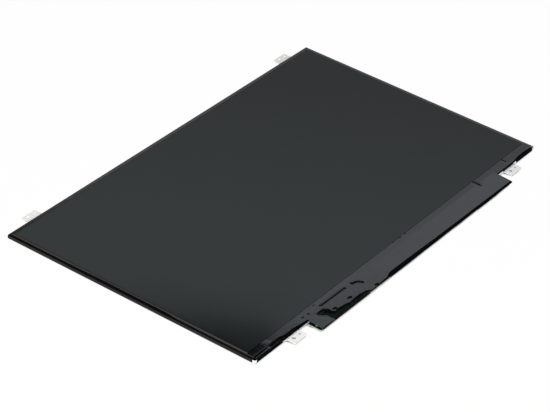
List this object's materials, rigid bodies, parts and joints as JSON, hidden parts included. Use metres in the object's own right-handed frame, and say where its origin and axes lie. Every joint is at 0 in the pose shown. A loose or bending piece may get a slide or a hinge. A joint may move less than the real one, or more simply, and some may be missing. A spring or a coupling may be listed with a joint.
{
  "type": "laptop screen panel",
  "caption": "Slim backlit screen panel for a laptop lid: matte glass face, folded metal back with fixing ears, taped edges and a driver board along the lower edge.",
  "frame": {"origin": "middle of the panel's body, on the rear face that it lies on", "axes": "+X to the right of the picture, +Y to its top, +Z out of the screen"},
  "size_m": [0.3204, 0.2042, 0.0033],
  "materials": {
    "rolled_sheet": "bright rolled sheet, folded, with fine rolling lines",
    "frame_plastic": "black moulded plastic",
    "white_reflector": "white film",
    "light_guide": "clear moulded plastic",
    "strip_flex": "white coated flex",
    "lamp_white": "white lamp bodies",
    "optical_film": "milky film",
    "black_adhesive": "black double-sided tape",
    "polariser_dark": "dark polariser film",
    "cell_glass": "thin clear glass",
    "screen_face": "dark anti-glare film",
    "driver_flex": "amber film",
    "chip_black": "black moulded package",
    "silicon": "bare dark chip",
    "board_green": "green solder mask",
    "connector_steel": "tinned steel shell",
    "connector_plastic": "black moulded plastic",
    "light_socket_plastic": "ivory moulded plastic",
    "contact_gold": "gold plated",
    "ferrite": "dark ferrite",
    "capacitor_ceramic": "tan ceramic with tinned ends",
    "resistor_ceramic": "black film on ceramic with tinned ends",
    "edge_tape": "thin black polyester tape",
    "cover_film": "glossy black polyester film"
  },
  "bodies": {
    "root": {"rear_cover": "rolled_sheet", "mould_frame": "frame_plastic", "reflector_sheet": "white_reflector", "light_guide_plate": "light_guide", "led_strip": "strip_flex", "led_packages": "lamp_white", "lower_diffuser": "optical_film", "lower_prism_sheet": "optical_film", "upper_prism_sheet": "optical_film", "upper_diffuser": "optical_film", "rim_tape": "black_adhesive", "rear_polariser": "polariser_dark", "array_glass": "cell_glass", "colour_filter_glass": "cell_glass", "front_polariser": "screen_face", "circuit_board": "board_green", "signal_connector_shell": "connector_steel", "signal_connector_body": "connector_plastic", "signal_connector_contacts": "contact_gold", "backlight_connector": "light_socket_plastic", "backlight_contacts": "contact_gold", "timing_controller": "chip_black", "reference_voltage_chip": "chip_black", "power_controller": "chip_black", "backlight_controller": "chip_black", "memory_chip": "chip_black", "diodes": "chip_black", "power_inductors": "ferrite", "ceramic_capacitors": "capacitor_ceramic", "output_capacitors": "capacitor_ceramic", "chip_resistors": "resistor_ceramic", "edge_tape_left": "edge_tape", "edge_tape_right": "edge_tape", "edge_tape_top": "edge_tape", "board_cover_tape": "cover_film", "driver_film_1": "driver_flex", "driver_chip_1": "silicon", "driver_film_2": "driver_flex", "driver_chip_2": "silicon", "driver_film_3": "driver_flex", "driver_chip_3": "silicon"}
  },
  "joints": []
}
